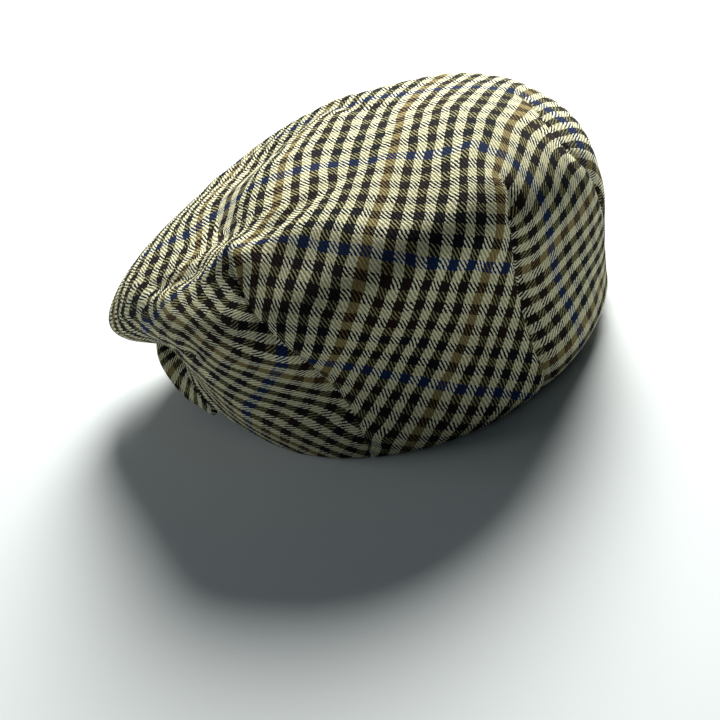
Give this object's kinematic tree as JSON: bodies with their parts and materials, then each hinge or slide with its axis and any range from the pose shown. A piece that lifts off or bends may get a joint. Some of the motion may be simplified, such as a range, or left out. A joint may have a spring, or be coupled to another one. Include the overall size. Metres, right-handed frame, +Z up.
{
  "type": "flat cap",
  "caption": "Soft one-piece cloth flat cap with a forward-leaning crown, corner darts, an open head hollow and a short covered peak under its front.",
  "frame": {"origin": "centre of the cap's footprint box, on the surface that the rim rests on", "axes": "+X towards the peak at the front, +Y to the wearer's left, +Z up out of the top of the crown"},
  "size_m": [0.2544, 0.1876, 0.109],
  "materials": {
    "check_cloth": "fine wool twill in a small check"
  },
  "bodies": {
    "root": {"crown": "check_cloth", "peak": "check_cloth"}
  },
  "joints": []
}
